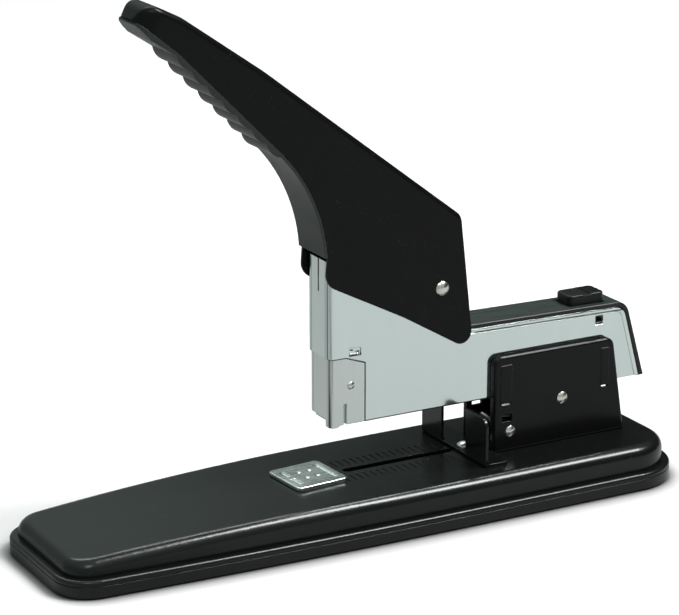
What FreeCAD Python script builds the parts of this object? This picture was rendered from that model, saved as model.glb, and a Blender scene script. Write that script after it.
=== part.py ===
import FreeCAD, Part

import math
import os

# Heavy-duty desk stapler. Millimetres. +Z up, +X to the rear, nose of the base at -X.
# The origin is the centre of the base's underside.

# ---- base ----
base_length = 290.0
base_rear_width = 81.8
base_front_width = 69.6
taper_start = 42.0            # the sides run straight behind this X and bow inwards in front of it
rear_corner_radius = 24.5
front_corner_radius = 15.4
tray_height = 7.5
tray_floor = 2.0
tray_lift = 0.6               # the tray's rim hangs this far above the table
rim_width = 3.5
mat_inset = 5.0
mat_thickness = 1.6
deck_height = 18.2            # top of the pressed cover
deck_drop = 4.8               # the cover falls this much towards the front
drop_start = -9.8
cover_edge_radius = 5.0
sheet = 1.2                   # base cover, guide and handle sheet
slot_front = -4.4
slot_rear = 58.0
slot_width = 4.0
tick_pitch = 3.2
tick_first = -8.0
tick_count = 17
tick_length = 7.0
tick_size = 0.8
tick_depth = 0.45
tick_offset = 4.8

# ---- anvil ----
anvil_x = -21.0
anvil_side = 24.5
anvil_thickness = 1.5
anvil_turn = 4.5              # degrees it is standing off square
anvil_pin_radius = 3.0

# ---- paper guide ----
guide_x = 49.3
guide_length = 11.6
guide_half_width = 26.3
guide_gap_half = 10.0
guide_height = 21.4
guide_rivet_x = 55.0

# ---- rear bracket ----
bracket_front = 61.6
bracket_rear_top = 121.6
bracket_rear_bottom = 128.3
bracket_height = 42.5
bracket_half_width = 13.0
bracket_depth = 3.4           # how far the pressed rims turn inwards
bracket_sheet = 1.5
pivot_x = 95.7
pivot_z = 37.7
pivot_radius = 2.2
stop_x = 69.7
stop_z = 27.0
stop_radius = 2.0
tilt_spring_x = 77.0
tilt_spring_radius = 4.2

# ---- body frame ----
body_half_width = 9.3
body_sheet = 1.0
body_bottom = 41.9
ear_bottom = 31.0
head_front = -16.0
head_bottom = 71.1
head_top = 112.5
notch_rear = 1.1              # the magazine's nose fills the corner in front of this X
top_front_z = 74.5
top_rear_x = 129.0
top_rear_z = 73.2
rear_x = 138.0
rear_bottom = 40.3
cover_strip = 1.7
line_inset = 1.7              # a fine pressed line below the body's top edge
line_width = 0.4
line_depth = 0.3
handle_pivot_x = 36.3
handle_pivot_z = 94.8
handle_pivot_radius = 2.5
handle_rivet_head = 3.2

# ---- handle ----
handle_half_width = 11.2
handle_edge_radius = 2.6
nose_plan_radius = 8.0
nose_reach = 16.8             # from the last bend of the top to the nose's end
wave_count = 7
wave_first_x = -83.0
wave_first_z = 204.8
wave_step_x = 6.37
wave_step_z = -6.46
wave_bulge = 1.5
lip_height = 1.3
insert_wall = 3.2
insert_nose_x = -98.6
insert_nose_z = 217.6
insert_end_x = -18.9
insert_end_z = 115.4

# ---- driver ----
pin_x = -9.0
pin_z = 100.0
pin_radius = 2.0
lever_half_width = 7.4
lever_sheet = 1.5
blade_front = -14.0
blade_thickness = 0.8
blade_half_width = 6.4
blade_bottom = 70.7
seat_thickness = 1.0
driver_spring_x = 6.5
driver_spring_radius = 5.0

# ---- magazine ----
nose_front = -15.2
nose_half_width = 9.0
nose_sheet = 1.0
nose_bottom = 41.3
nose_top = 70.7
channel_bottom = 42.4
channel_top = 67.0
channel_sheet = 1.0
channel_rear = 122.0
tab_x = 100.0
nose_rivet_x = -5.7
nose_rivet_z = 58.7
nose_rivet_radius = 1.1
staple_crown = 13.0
staple_leg = 13.0
staple_wire = 0.6
strip_length = 53.0
rail_sheet = 0.8
pusher_length = 14.0
rod_z = 62.3
rod_radius = 1.5
rod_front = 22.0

# ---- release button ----
button_x = 112.2
button_length = 18.0
button_half_width = 5.7
button_top = 79.7
button_bottom = 71.5

# ---- clearances ----
running = 0.05                # radial gap of a pin in its hole
gap = 0.1                     # between pieces that are fixed together
slack = 0.3                   # between pieces that move past each other


def vec(x, y, z):
    return FreeCAD.Vector(x, y, z)


def box(x0, x1, y0, y1, z0, z1):
    return Part.makeBox(x1 - x0, y1 - y0, z1 - z0, vec(x0, y0, z0))


def pin_y(x, z, radius, y0, y1):
    """A round bar across the object."""
    return Part.makeCylinder(radius, y1 - y0, vec(x, y0, z), vec(0, 1, 0))


def pin_z_axis(x, y, radius, z0, z1):
    return Part.makeCylinder(radius, z1 - z0, vec(x, y, z0), vec(0, 0, 1))


def tube_z(x, y, outer, inner, z0, z1):
    return pin_z_axis(x, y, outer, z0, z1).cut(pin_z_axis(x, y, inner, z0 - 1, z1 + 1))


def both_sides(shape):
    """The shape and its mirror image across the centre plane."""
    return shape.fuse(shape.mirror(vec(0, 0, 0), vec(0, 1, 0)))


def group(shapes):
    return Part.makeCompound(shapes)


def outline(corners, place):
    """A closed wire through corners (u, v, radius), each rounded by its radius."""
    count = len(corners)
    stops = []
    for i, (u, v, radius) in enumerate(corners):
        here = vec(u, v, 0)
        before = vec(corners[i - 1][0], corners[i - 1][1], 0).sub(here)
        after = vec(corners[(i + 1) % count][0], corners[(i + 1) % count][1], 0).sub(here)
        before.normalize()
        after.normalize()
        if radius <= 0:
            stops.append((here, None, here))
            continue
        half = before.getAngle(after) / 2
        reach = radius / math.tan(half)
        middle = before.add(after)
        middle.normalize()
        crown = here.add(middle.multiply(radius / math.sin(half) - radius))
        start = here.add(vec(before.x, before.y, 0).multiply(reach))
        end = here.add(vec(after.x, after.y, 0).multiply(reach))
        stops.append((start, crown, end))
    edges = []
    for i, (start, crown, end) in enumerate(stops):
        if crown is not None:
            arc = Part.Arc(place(start.x, start.y), place(crown.x, crown.y), place(end.x, end.y))
            edges.append(arc.toShape())
        nearest = stops[(i + 1) % count][0]
        if nearest.sub(end).Length > 1e-6:
            edges.append(Part.makeLine(place(end.x, end.y), place(nearest.x, nearest.y)))
    return Part.Wire(edges)


def side_plate(corners, y0, y1):
    """An outline in X and Z, drawn out along Y."""
    wire = outline(corners, lambda u, v: vec(u, y0, v))
    return Part.Face(wire).extrude(vec(0, y1 - y0, 0))


def cross_plate(corners, x0, x1):
    """An outline in Y and Z, drawn out along X."""
    wire = outline(corners, lambda u, v: vec(x0, u, v))
    return Part.Face(wire).extrude(vec(x1 - x0, 0, 0))


def fillet_where(shape, radius, test):
    edges = [edge for edge in shape.Edges if test(edge)]
    return shape.makeFillet(radius, edges)


def middle_of(edge):
    return edge.valueAt((edge.FirstParameter + edge.LastParameter) / 2)


def is_upright(edge):
    first, last = edge.Vertexes[0].Point, edge.Vertexes[-1].Point
    return abs(first.z - last.z) > 1e-3 and abs(first.x - last.x) + abs(first.y - last.y) < 1e-6


# ---------------------------------------------------------------- base

def bowed_edge(side, inset):
    """End, middle and start of the bowed side, an arc tangent to the straight side."""
    wide = base_rear_width / 2 - inset
    slim = base_front_width / 2 - inset
    front = -base_length / 2 + inset
    run = taper_start - front
    rise = wide - slim
    radius = (run * run + rise * rise) / (2 * rise)
    half = math.asin(run / radius) / 2
    middle_x = taper_start - radius * math.sin(half)
    middle_y = wide - radius + radius * math.cos(half)
    return (front, side * slim), (middle_x, side * middle_y), (taper_start, side * wide)


def base_prism(inset, z0, z1):
    """The base's outline, set in from the tray's edge, between two heights."""
    rear = base_length / 2 - inset
    left = [vec(x, y, z0) for x, y in bowed_edge(-1, inset)]
    right = [vec(x, y, z0) for x, y in bowed_edge(1, inset)]
    rear_left = vec(rear, left[2].y, z0)
    rear_right = vec(rear, right[2].y, z0)
    edges = [
        Part.Arc(*left).toShape(),
        Part.makeLine(left[2], rear_left),
        Part.makeLine(rear_left, rear_right),
        Part.makeLine(rear_right, right[2]),
        Part.Arc(*reversed(right)).toShape(),
        Part.makeLine(right[0], left[0]),
    ]
    solid = Part.Face(Part.Wire(edges)).extrude(vec(0, 0, z1 - z0))
    for end, radius in ((rear, rear_corner_radius), (-rear, front_corner_radius)):
        solid = fillet_where(
            solid, radius - inset, lambda e: is_upright(e) and abs(middle_of(e).x - end) < 1e-3
        )
    return solid


def crowned_block(inset, z0, lower, edge_radius):
    """The cover's outer or inner form: a prism under the falling deck, with a rolled edge."""
    top = deck_height - lower
    front = -base_length / 2
    run = drop_start - front
    radius = (run * run + deck_drop * deck_drop) / (2 * deck_drop)
    half = math.asin(run / radius) / 2
    crown = vec(drop_start - radius * math.sin(half), 0, top - radius + radius * math.cos(half))
    start = vec(drop_start, 0, top)
    end = vec(front, 0, top - deck_drop)
    rear = base_length / 2
    edges = [
        Part.Arc(start, crown, end).toShape(),
        Part.makeLine(end, vec(front, 0, z0)),
        Part.makeLine(vec(front, 0, z0), vec(rear, 0, z0)),
        Part.makeLine(vec(rear, 0, z0), vec(rear, 0, top)),
        Part.makeLine(vec(rear, 0, top), start),
    ]
    profile = Part.Face(Part.Wire(edges))
    profile.translate(vec(0, -base_rear_width, 0))
    slab = profile.extrude(vec(0, 2 * base_rear_width, 0))
    block = base_prism(inset, z0, deck_height + 5).common(slab)

    def on_top(edge):
        spot = middle_of(edge)
        inside = abs(spot.x - drop_start) < 1e-3 and abs(spot.y) < 1
        return spot.z > top - deck_drop - 0.5 and not is_upright(edge) and not inside

    return fillet_where(block, edge_radius, on_top)


tray_floor_top = mat_thickness + tray_floor
cover_floor = tray_floor_top
screw_spots = [(x, y) for x in (-118.0, 118.0) for y in (-22.0, 22.0)]
bracket_screw_spots = [(x, y) for x in (87.0, 114.0) for y in (-6.0, 6.0)]
screw_shank = 1.6
screw_head = 3.0
screw_head_height = 1.3
post_radius = 4.0
post_hole_depth = 7.0
nut_height = 2.4
nut_corner = 3.1


def make_base_mat():
    return base_prism(mat_inset + slack, 0, mat_thickness)


def make_base_tray():
    tray = base_prism(0, tray_lift, tray_height)
    tray = fillet_where(tray, 1.3, lambda e: middle_of(e).z > tray_height - 0.01)
    tray = tray.cut(base_prism(rim_width - gap, tray_floor_top, tray_height + 1))
    tray = tray.cut(base_prism(mat_inset, -1, mat_thickness))
    # the fine line pressed into the rim below its rounded edge
    line = base_prism(-1, tray_height - 2.5, tray_height - 2.1)
    tray = tray.cut(line.cut(base_prism(0.3, tray_height - 3, tray_height - 1)))
    for x, y in screw_spots:
        tray = tray.cut(pin_z_axis(x, y, screw_shank + gap, 0, tray_floor_top + 1))
    return tray


def make_base_cover():
    cover = crowned_block(rim_width, cover_floor, 0, cover_edge_radius)
    hollow = crowned_block(
        rim_width + sheet, cover_floor, sheet, cover_edge_radius - sheet
    )
    cover = cover.cut(hollow)
    for x, y in screw_spots:
        post = pin_z_axis(x, y, post_radius, cover_floor, deck_height)
        cover = cover.fuse(post.common(crowned_block(rim_width + 0.2, cover_floor, 0.2, 4.0)))
        cover = cover.cut(pin_z_axis(x, y, screw_shank + running, 0, cover_floor + post_hole_depth))
    slot = box(slot_front, slot_rear, -slot_width / 2, slot_width / 2, deck_height - 4, deck_height + 1)
    slot = fillet_where(slot, slot_width / 2 - 0.05, is_upright)
    cover = cover.cut(slot)
    cover = cover.cut(pin_z_axis(anvil_x, 0, anvil_pin_radius + running, deck_height - 4, deck_height + 1))
    for x, y in bracket_screw_spots:
        cover = cover.cut(pin_z_axis(x, y, screw_shank + running, deck_height - 4, deck_height + 1))
    ticks = []
    for i in range(tick_count):
        x = tick_first + i * tick_pitch
        ticks.append(
            box(x, x + tick_size, tick_offset, tick_offset + tick_length,
                deck_height - tick_depth, deck_height + 1)
        )
    return cover.cut(both_sides(group(ticks)))


def slotted_screw(x, y, z0, z1):
    """A slotted pan-head screw between two heights, with its head at the top."""
    head = pin_z_axis(x, y, screw_head, z1 - screw_head_height, z1)
    slot = box(x - 0.4, x + 0.4, y - 1.8, y + 1.8, z1 - 0.6, z1 + 0.1)
    return head.fuse(pin_z_axis(x, y, screw_shank, z0, z1)).cut(slot)


def make_base_screws():
    """Each screw goes up through the tray's floor into a post of the cover."""
    return group([pin_z_axis(x, y, screw_shank, mat_thickness + gap, cover_floor + post_hole_depth - 0.5)
                  for x, y in screw_spots])


# ---------------------------------------------------------------- anvil

def make_anvil_plate():
    z0 = deck_height + gap
    z1 = z0 + anvil_thickness
    half = anvil_side / 2
    plate = box(-half, half, -half, half, z0, z1)
    plate = fillet_where(plate, 2.2, is_upright)
    plate = fillet_where(plate, 0.5, lambda e: middle_of(e).z > z1 - 0.01)
    groove_x = 8.4
    groove = pin_y(groove_x, z1 + 1.0, 1.6, -8.5, 8.5)
    plate = plate.cut(groove)
    for side in (-1, 1):
        pocket = pin_y(-groove_x, z1 + 0.9, 1.6, side * 4.6 - 3.4, side * 4.6 + 3.4)
        plate = plate.cut(pocket)
        for x in (-2.6, 2.6):
            dimple = Part.makeSphere(2.0, vec(x, side * 3.4, z1 + 1.6))
            plate = plate.cut(dimple)
    plate.rotate(vec(0, 0, 0), vec(0, 0, 1), anvil_turn)
    plate.translate(vec(anvil_x, 0, 0))
    return plate


anvil_pin_bottom = deck_height - 7.0
clip_z = anvil_pin_bottom + 1.0


def make_anvil_pin():
    stem = pin_z_axis(anvil_x, 0, anvil_pin_radius, anvil_pin_bottom, deck_height + gap)
    neck = tube_z(anvil_x, 0, anvil_pin_radius + 1, anvil_pin_radius - 0.8, clip_z, clip_z + 1.0)
    return stem.cut(neck)


def make_anvil_clip():
    ring = tube_z(anvil_x, 0, 5.5, anvil_pin_radius - 0.8 + running, clip_z + gap, clip_z + 1.0 - gap)
    mouth = box(anvil_x, anvil_x + 8, -1.5, 1.5, clip_z - 1, clip_z + 3)
    return ring.cut(mouth)


def make_anvil_spring():
    """Stand-in tube for the coil that holds the plate down on the deck."""
    return tube_z(anvil_x, 0, 4.6, 3.6, clip_z + 1.0, deck_height - sheet - gap)


# ---------------------------------------------------------------- paper guide

def make_guide_plate():
    z0 = deck_height + gap
    floor = box(guide_x, guide_x + guide_length, -guide_half_width, guide_half_width, z0, z0 + sheet)
    floor = fillet_where(floor, 2.5, lambda e: is_upright(e) and middle_of(e).x > guide_x + 1)
    top = z0 + guide_height
    ear = [
        (guide_gap_half, z0, 0),
        (guide_half_width, z0, 0),
        (guide_half_width, top - 0.6, 4.0),
        (guide_gap_half, top, 0.8),
    ]
    upright = cross_plate(ear, guide_x, guide_x + sheet)
    plate = floor.fuse(both_sides(upright)).removeSplitter()
    corner = guide_x + sheet
    inner = [e for e in plate.Edges
             if abs(middle_of(e).x - corner) < 1e-3 and abs(middle_of(e).z - z0 - sheet) < 1e-3]
    plate = plate.makeFillet(0.8, inner)
    outer = [e for e in plate.Edges
             if abs(middle_of(e).x - guide_x) < 1e-3 and abs(middle_of(e).z - z0) < 1e-3]
    plate = plate.makeFillet(0.9, outer)
    return plate.cut(pin_z_axis(guide_rivet_x, 0, slot_width / 2 - gap + running, z0 - 1, z0 + 5))


def dome(x, y, z, radius, height, axis):
    """A low rivet head: the cap of a sphere, standing on z along the axis given."""
    ball = (radius * radius + height * height) / (2 * height)
    centre = vec(x, y, z).add(vec(axis[0], axis[1], axis[2]).multiply(height - ball))
    base = vec(x, y, z)
    sphere = Part.makeSphere(ball, centre)
    rod = Part.makeCylinder(radius, height + 1, base, vec(*axis))
    return sphere.common(rod)


slider_top = deck_height - sheet - gap


def make_guide_rivet():
    z0 = deck_height + gap + sheet
    shank = pin_z_axis(guide_rivet_x, 0, slot_width / 2 - gap, slider_top - 3.2, z0)
    return shank.fuse(dome(guide_rivet_x, 0, z0, 3.4, 1.4, (0, 0, 1)))


def make_guide_slider():
    plate = box(guide_rivet_x - 6, guide_rivet_x + 5, -6.5, 6.5, slider_top - 2.2, slider_top)
    return plate.cut(pin_z_axis(guide_rivet_x, 0, slot_width / 2 - gap + running, 0, deck_height))


# ---------------------------------------------------------------- rear bracket

def cheek_corners(inset):
    """The cheek's outline, set in by a distance for its hollow."""
    z0 = deck_height
    z1 = z0 + bracket_height
    radius = 4.0 - inset / 2
    slope = (bracket_rear_bottom - bracket_rear_top) / bracket_height
    return [
        (bracket_front + inset, z0 + inset, 0),
        (bracket_rear_bottom - inset - slope * inset, z0 + inset, 0),
        (bracket_rear_top - inset, z1 - inset, radius),
        (bracket_front + inset, z1 - inset, radius),
    ]


slit_z = deck_height + 21.2
band_spots = [(67.2, 5.6), (117.2, 4.2)]


def make_rear_bracket():
    y0 = bracket_half_width - bracket_depth
    y1 = bracket_half_width
    cheek = side_plate(cheek_corners(0), y0, y1)
    outer = lambda e: abs(middle_of(e).y - y1) < 1e-3
    cheek = fillet_where(cheek, 1.3, outer)
    cheek = cheek.cut(side_plate(cheek_corners(bracket_sheet), y0 - 1, y1 - bracket_sheet))
    for x, width in band_spots:
        band = box(x - width / 2, x + width / 2, y1 - 0.5, y1 + 0.35, slit_z, slit_z + 17.5)
        band = fillet_where(band, 0.34, lambda e: middle_of(e).y > y1 + 0.34)
        slit = box(x - width / 2 + 0.3, x + width / 2 - 0.3, y1 - 3, y1 + 1, slit_z - 0.6, slit_z + 0.7)
        cheek = cheek.fuse(band).cut(slit)
    window = box(stop_x - 4.2, stop_x + 0.8, y1 - 3, y1 + 1, stop_z + 4.6, stop_z + 7.8)
    cheek = cheek.cut(window)
    floor = box(bracket_front, bracket_rear_bottom - 1.5, -y0 - 1.0, y0 + 1.0,
                deck_height, deck_height + bracket_sheet)
    bracket = both_sides(cheek).fuse(floor)
    bracket = bracket.cut(pin_y(pivot_x, pivot_z, pivot_radius + running, -20, 20))
    bracket = bracket.cut(pin_y(stop_x, stop_z, stop_radius + running, -20, 20))
    for x, y in bracket_screw_spots:
        bracket = bracket.cut(pin_z_axis(x, y, screw_shank + running, deck_height - 1, deck_height + 3))
    return bracket.removeSplitter()


def make_bracket_screws():
    top = deck_height + bracket_sheet + screw_head_height
    return group([slotted_screw(x, y, deck_height - 6.0, top) for x, y in bracket_screw_spots])


def make_bracket_nuts():
    nuts = []
    for x, y in bracket_screw_spots:
        corners = [(nut_corner * math.cos(math.radians(60 * i)),
                    nut_corner * math.sin(math.radians(60 * i))) for i in range(7)]
        points = [vec(x + u, y + v, deck_height - sheet - nut_height) for u, v in corners]
        nut = Part.Face(Part.makePolygon(points)).extrude(vec(0, 0, nut_height))
        nuts.append(nut.cut(pin_z_axis(x, y, screw_shank + running, 0, deck_height)))
    return group(nuts)


def headed_pin(x, z, radius, half_length, head_radius, head_height):
    """A riveted pin: a shank across the object with a low head on each end."""
    pin = pin_y(x, z, radius, -half_length, half_length)
    for side in (-1, 1):
        pin = pin.fuse(dome(x, side * half_length, z, head_radius, head_height, (0, side, 0)))
    return pin


def make_pivot_washers():
    """Spacers on the pivot between the body's ears and the cheeks."""
    inner = body_half_width + gap
    outer = bracket_half_width - bracket_sheet - gap
    ring = pin_y(pivot_x, pivot_z, 5.0, inner, outer)
    return group([ring.cut(pin_y(pivot_x, pivot_z, pivot_radius + running, 0, 20)),
                  ring.cut(pin_y(pivot_x, pivot_z, pivot_radius + running, 0, 20)).mirror(
                      vec(0, 0, 0), vec(0, 1, 0))])


bridge_top = body_bottom - 0.2
bridge_bottom = bridge_top - 1.2
tilt_spring_bottom = deck_height + bracket_sheet


def make_tilt_spring():
    """Stand-in tube for the coil that lifts the body."""
    return tube_z(tilt_spring_x, 0, tilt_spring_radius, tilt_spring_radius - 1,
                  tilt_spring_bottom, bridge_bottom)


# ---------------------------------------------------------------- body

def frame_top(x):
    """Height of the body's top edge, which falls slightly to the rear."""
    front_x = handle_pivot_x + 10
    fall = (top_front_z - top_rear_z) / (top_rear_x - front_x)
    return top_front_z - fall * (x - front_x)


def frame_corners():
    deck_x = handle_pivot_x + 10
    return [
        (notch_rear, body_bottom, 0),
        (notch_rear, head_bottom - 3.2, 0),
        (-8.0, head_bottom, 0),
        (head_front, head_bottom, 0),
        (head_front, head_top, 0),
        (8.0, head_top, 12.0),
        (handle_pivot_x + 2, handle_pivot_z + 10.5, 6.0),
        (handle_pivot_x + 8, handle_pivot_z, 3.0),
        (deck_x, top_front_z, 0),
        (top_rear_x, top_rear_z, 6.0),
        (rear_x, rear_bottom, 0),
        (pivot_x + 15, rear_bottom, 0),
        (pivot_x + 11, ear_bottom, 3.0),
        (stop_x - 3, ear_bottom + 4, 3.0),
        (stop_x - 3, body_bottom, 0),
    ]


def make_body_frame():
    frame = side_plate(frame_corners(), -body_half_width, body_half_width)
    front = lambda e: is_upright(e) and abs(middle_of(e).x - head_front) < 1e-3
    frame = fillet_where(frame, 2.2, front)

    def top_edge(edge):
        spot = middle_of(edge)
        along = abs(abs(spot.y) - body_half_width) < 1e-3
        return along and spot.x > handle_pivot_x + 11 and spot.z > rear_bottom + 2

    frame = fillet_where(frame, 0.8, top_edge)

    def bottom_edge(edge):
        spot = middle_of(edge)
        return abs(abs(spot.y) - body_half_width) < 1e-3 and abs(spot.z - body_bottom) < 1e-3

    frame = fillet_where(frame, 0.85, bottom_edge)
    inner = body_half_width - body_sheet
    front_x = head_front + body_sheet
    web_x = handle_pivot_x + 7
    hollow = [
        (front_x, ear_bottom - 5, 0),
        (front_x, head_top + 10, 0),
        (web_x, head_top + 10, 0),
        (web_x, frame_top(web_x) - body_sheet, 0),
        (top_rear_x - 0.8, frame_top(top_rear_x) - body_sheet, 5.0),
        (rear_x - body_sheet - 0.2, rear_bottom - 1, 0),
        (rear_x - body_sheet - 0.2, ear_bottom - 5, 0),
    ]
    frame = frame.cut(side_plate(hollow, -inner, inner))
    bridge = box(tilt_spring_x - 7, tilt_spring_x + 7, -inner, inner, bridge_bottom, bridge_top)
    frame = frame.fuse(bridge)
    frame = frame.cut(pin_y(pivot_x, pivot_z, pivot_radius + running, -20, 20))
    frame = frame.cut(pin_y(handle_pivot_x, handle_pivot_z, handle_pivot_radius + running, -20, 20))
    frame = frame.cut(box(114.2, 118.2, -20, 20, 66.4, 70.5))
    window = [(-6.6, 72.3, 0), (-1.2, 71.9, 0), (-1.2, 74.6, 0), (-6.6, 75.2, 0)]
    recess = side_plate(window, body_half_width - 0.5, body_half_width + 1)
    frame = frame.cut(both_sides(recess)).cut(box(-6.0, -4.8, -20, 20, 73.6, 74.2))
    frame = frame.cut(box(-3.4, -1.9, -20, 20, 72.6, 73.3))
    frame = frame.cut(both_sides(step_line()))
    frame = frame.cut(box(head_front - 1, front_x + 0.5, -0.5, 0.5, head_top - 14, head_top + 1))
    return frame.cut(button_window(slack))


def step_line():
    """A fine line pressed into the side, following the top and rear edges."""
    deck_x = handle_pivot_x + 10
    lines = []
    for inset in (line_inset, line_inset + line_width):
        corner_x = top_rear_x - inset
        lines.append(side_plate([
            (deck_x, frame_top(deck_x) - inset, 0),
            (corner_x, frame_top(corner_x) - inset, 6.0 - inset),
            (rear_x - inset - 0.4, rear_bottom - 1, 0),
            (deck_x, rear_bottom - 1, 0),
        ], body_half_width - line_depth, body_half_width + 1))
    return lines[0].cut(lines[1])


def button_window(clear):
    """The opening in the top for the release button."""
    return box(button_x - button_length / 2 - clear, button_x + button_length / 2 + clear,
               -button_half_width - clear, button_half_width + clear, button_bottom - 1, button_top + 5)


def make_top_cover():
    """The plastic strip over the body's top and rear, ending in a small lip."""
    deck_x = handle_pivot_x + 10
    strip = cover_strip
    outer = [
        (deck_x + 0.5, frame_top(deck_x) - 0.5, 0),
        (deck_x + 0.5, frame_top(deck_x) + strip, 0.8),
        (top_rear_x + 1.4, frame_top(top_rear_x) + strip, 7.0),
        (rear_x + strip, rear_bottom + 2.0, 0.8),
        (rear_x + strip + 0.9, rear_bottom - 0.5, 0.6),
        (rear_x - 1, rear_bottom - 0.5, 0),
        (rear_x - 4, rear_bottom + 10, 0),
        (top_rear_x - 12, frame_top(top_rear_x) - 5, 0),
    ]
    cover = side_plate(outer, -body_half_width, body_half_width)

    def outside(edge):
        spot = middle_of(edge)
        along = abs(abs(spot.y) - body_half_width) < 1e-3
        high = spot.z > frame_top(spot.x) + 0.6 or spot.x > rear_x - 6
        return along and high and spot.x > deck_x + 2 and spot.z > rear_bottom + 1

    cover = fillet_where(cover, 0.7, outside)
    body = side_plate(frame_corners(), -20, 20)
    return cover.cut(body).cut(button_window(slack))


seat_z = nose_top + slack + seat_thickness


def make_spring_seat():
    """A shelf behind the driver: narrow between the lever's plates, then wall to wall."""
    inner = body_half_width - body_sheet
    front = driver_spring_x - driver_spring_radius + slack
    rear = driver_spring_x + driver_spring_radius + 2
    narrow = box(front, rear, -block_half_width, block_half_width, seat_z - seat_thickness, seat_z)
    wide = box(front + 6, rear, -inner, inner, seat_z - seat_thickness, seat_z)
    return narrow.fuse(wide).removeSplitter()


def make_handle_rivet():
    return headed_pin(handle_pivot_x, handle_pivot_z, handle_pivot_radius,
                      handle_half_width + gap, handle_rivet_head, 1.4)


# ---------------------------------------------------------------- handle

lower_x, lower_z = 17.7, 85.1
heel_x, heel_z = 51.8, 64.9
crown_x, crown_z = 44.85, 125.4
bend_x, bend_z = -45.0, 194.7
tip_bend_x, tip_bend_z = -80.0, 219.2
tip_x, tip_z = -93.6, 226.0
tip_low_x, tip_low_z = -98.8, 219.3
under_mid_x, under_mid_z = -25.2, 140.0
cheek_front_x, cheek_front_z = -18.6, 103.8


def wave_end():
    return wave_first_x + wave_count * wave_step_x, wave_first_z + wave_count * wave_step_z


def inward(x, z, distance):
    """A point moved from the wavy edge into the handle, square to the row of waves."""
    length = math.hypot(wave_step_x, wave_step_z)
    return x - wave_step_z / length * distance, z + wave_step_x / length * distance


def curved_under(distance):
    """The long curve under the handle, set in by a distance: start, middle and end."""
    start = inward(*wave_end(), distance)
    return start, (under_mid_x + distance * 0.94, under_mid_z + distance * 0.34), (
        insert_end_x + distance, insert_end_z)


def handle_side(inset, lip, y0, y1, crown_radius=0):
    """The handle seen from the side, set in from the top and nose, and cut by its lower edge."""
    slope = inset * 1.25
    start, middle, end = curved_under(lip)
    top = [
        (end[0], end[1]),
        (cheek_front_x + 0.1, cheek_front_z, 7.0),
        (lower_x, lower_z, 90.0),
        (heel_x, heel_z, 5.0),
        (crown_x, crown_z - slope, crown_radius),
        (bend_x, bend_z - slope, 120.0),
        (tip_bend_x, tip_bend_z - slope, 20.0),
        (tip_x + inset * 0.3, tip_z - inset * 1.35, 6.0 - inset),
        (tip_low_x + inset * 0.9, tip_low_z - inset * 0.2),
    ]
    first = inward(wave_first_x, wave_first_z, lip)
    points = [vec(p[0], y0, p[1]) for p in top]
    edges = []
    last = points[0]
    for i in range(1, len(top) - 1):
        here = points[i]
        if top[i][2] == 0:
            edges.append(Part.makeLine(last, here))
            last = here
            continue
        before = last.sub(here)
        after = points[i + 1].sub(here)
        before.normalize()
        after.normalize()
        half = before.getAngle(after) / 2
        radius = top[i][2]
        reach = radius / math.tan(half)
        bisect = before.add(after)
        bisect.normalize()
        start_arc = here.add(vec(*before).multiply(reach))
        end_arc = here.add(vec(*after).multiply(reach))
        crown = here.add(bisect.multiply(radius / math.sin(half) - radius))
        edges.append(Part.makeLine(last, start_arc))
        edges.append(Part.Arc(start_arc, crown, end_arc).toShape())
        last = end_arc
    edges.append(Part.makeLine(last, points[-1]))
    low = vec(first[0], y0, first[1])
    edges.append(Part.makeLine(points[-1], low))
    curve = [vec(p[0], y0, p[1]) for p in (start, middle, end)]
    edges.append(Part.makeLine(low, curve[0]))
    edges.append(Part.Arc(*curve).toShape())
    return Part.Face(Part.Wire(edges)).extrude(vec(0, y1 - y0, 0))


def nose_rounding(inset):
    """A long bar lying along the handle's tip, whose far end is rounded across its width."""
    angle = math.degrees(math.atan2(tip_z - tip_bend_z, tip_bend_x - tip_x))
    half = handle_half_width - inset
    reach = inset - nose_reach
    radius = nose_plan_radius - inset
    corners = [(250, -half, 0), (250, half, 0), (reach, half, radius), (reach, -half, radius)]
    wire = outline(corners, lambda u, v: vec(u, v, -150))
    bar = Part.Face(wire).extrude(vec(0, 0, 300))
    bar.rotate(vec(0, 0, 0), vec(0, 1, 0), angle)
    bar.translate(vec(tip_bend_x, 0, tip_bend_z))
    return bar


def make_handle_shell():
    half = handle_half_width
    outer = handle_side(0, lip_height, -half, half).common(nose_rounding(0))

    def along_top(edge):
        spot = middle_of(edge)
        lifted = spot.z > crown_z - 0.8 * (spot.x - crown_x) - 4
        return abs(abs(spot.y) - half) < 1e-3 and lifted and spot.x < crown_x - 2

    outer = fillet_where(outer, handle_edge_radius, along_top)
    cavity = half - sheet
    inner = handle_side(sheet, -8, -cavity, cavity).common(nose_rounding(sheet))
    inner = fillet_where(
        inner, handle_edge_radius - sheet,
        lambda e: abs(abs(middle_of(e).y) - cavity) < 1e-3
        and middle_of(e).z > crown_z - 0.8 * (middle_of(e).x - crown_x) - 6
        and middle_of(e).x < crown_x - 2,
    )
    below = side_plate(
        [(-30, 60, 0), (80, 60, 0), (crown_x + 2, crown_z - 8, 0), (0, 130, 0), (-30, 130, 0)],
        -cavity, cavity,
    )
    rounded = handle_side(0, lip_height, -half, half, 3.0)
    shell = outer.common(rounded).cut(inner).cut(below)
    return shell.cut(pin_y(handle_pivot_x, handle_pivot_z, handle_pivot_radius + running, -20, 20))


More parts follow.
